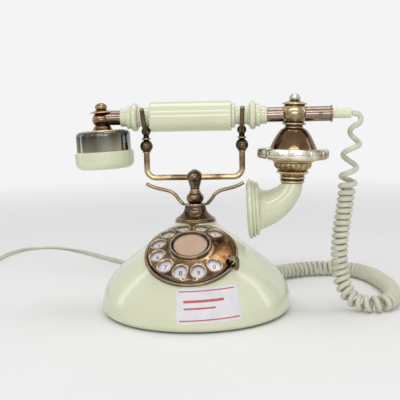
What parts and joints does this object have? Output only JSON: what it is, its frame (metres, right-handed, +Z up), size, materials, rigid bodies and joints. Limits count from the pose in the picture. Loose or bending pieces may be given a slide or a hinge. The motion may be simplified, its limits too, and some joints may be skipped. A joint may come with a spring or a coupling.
{
  "type": "cradle telephone",
  "caption": "Free-standing rotary-dial telephone with a round hooded base, a forked cradle on a column, a tube handset with ear cup and curved mouthpiece, and its cords.",
  "frame": {"origin": "centre of the base's underside, on the surface the telephone stands on", "axes": "+Z up; -Y to the front, where the dial faces; +X to the mouthpiece end of the handset"},
  "size_m": [0.5467, 0.4143, 0.2006],
  "materials": {
    "ivory": "glossy, slightly yellowed",
    "brass": "polished, tarnished",
    "pale_gold": "polished, pale",
    "steel": "plain",
    "felt": "felt",
    "grommet": "matt",
    "black_plastic": "matt",
    "board": "matt",
    "winding": "varnished",
    "number_white": "glossy",
    "card": "paper",
    "window": "clear",
    "cord_ivory": "satin"
  },
  "bodies": {
    "base": {"base_pad": "felt", "base_plate": "steel", "base_plate_screws": "steel", "base_housing": "ivory", "column_foot": "brass", "column_collar": "brass", "column_tube": "brass", "column_nut": "steel", "left_wing_arm": "pale_gold", "right_wing_arm": "pale_gold", "dial_bezel": "brass", "number_plate": "number_white", "finger_stop": "pale_gold", "dial_frame": "steel", "spring_bridge": "steel", "hook_switch": "black_plastic", "hook_spring": "steel", "ringer_frame": "steel", "ringer_coil": "winding", "ringer_gongs": "brass", "circuit_board": "board", "handset_cord_grommet": "grommet", "handset_cord": "cord_ivory", "line_cord_grommet": "grommet", "line_cord": "cord_ivory", "line_cord_coil": "cord_ivory", "line_plug": "window"},
    "dial": {"finger_wheel": "brass", "card_ring": "brass", "dial_card": "card", "card_window": "window", "dial_shaft": "steel", "main_gear": "brass"},
    "governor": {"governor": "brass"},
    "clapper": {"clapper": "steel"},
    "cradle": {"yoke_hub": "brass", "cradle_bar": "pale_gold", "left_fork": "brass", "right_fork": "brass", "plunger_rod": "steel"},
    "handset": {"grip_barrel": "ivory", "handset_tube": "brass", "left_ferrule": "ivory", "right_ferrule": "ivory", "receiver_hub": "brass", "receiver_cup": "pale_gold", "receiver_element": "black_plastic", "ear_cap": "ivory", "transmitter_hub": "brass", "transmitter_dome": "brass", "lobed_ring": "pale_gold", "transmitter_cup": "brass", "mouthpiece_elbow": "ivory", "mouthpiece_rim": "ivory", "transmitter_element": "black_plastic", "tube_end_flange": "brass", "set_screw": "steel", "cord_sleeve": "ivory"}
  },
  "joints": [
    {"name": "handset_lift", "type": "slide", "parent": "base", "child": "handset", "axis": [0.124, 0, 0.9923], "range_m": [0, 0.06]},
    {"name": "cradle_slide", "type": "slide", "parent": "base", "child": "cradle", "axis": [0, 0, 1], "range_m": [0, 0.004], "stiffness_N_per_m": 100, "springref_m": 0.008, "deforming": ["hook_spring"]},
    {"name": "dial_spin", "type": "hinge", "parent": "base", "child": "dial", "pos_m": [0, -0.05, 0.063], "axis": [0, -0.503, 0.8643], "range_deg": [-330, 0], "stiffness_Nm_per_rad": 0.01, "springref_deg": 28.65},
    {"name": "governor_spin", "type": "hinge", "parent": "base", "child": "governor", "pos_m": [0.0217, -0.05, 0.063], "axis": [0, -0.503, 0.8643], "range_deg": [0, 1650]},
    {"name": "clapper_swing", "type": "hinge", "parent": "base", "child": "clapper", "pos_m": [0, 0.04, 0.01], "axis": [0, 0, 1], "range_deg": [-11, 11], "stiffness_Nm_per_rad": 0.002}
  ],
  "couplings": [
    {"joint": "cradle_slide", "follows": "handset_lift", "ratio": 0.066667},
    {"joint": "governor_spin", "follows": "dial_spin", "ratio": -5}
  ]
}
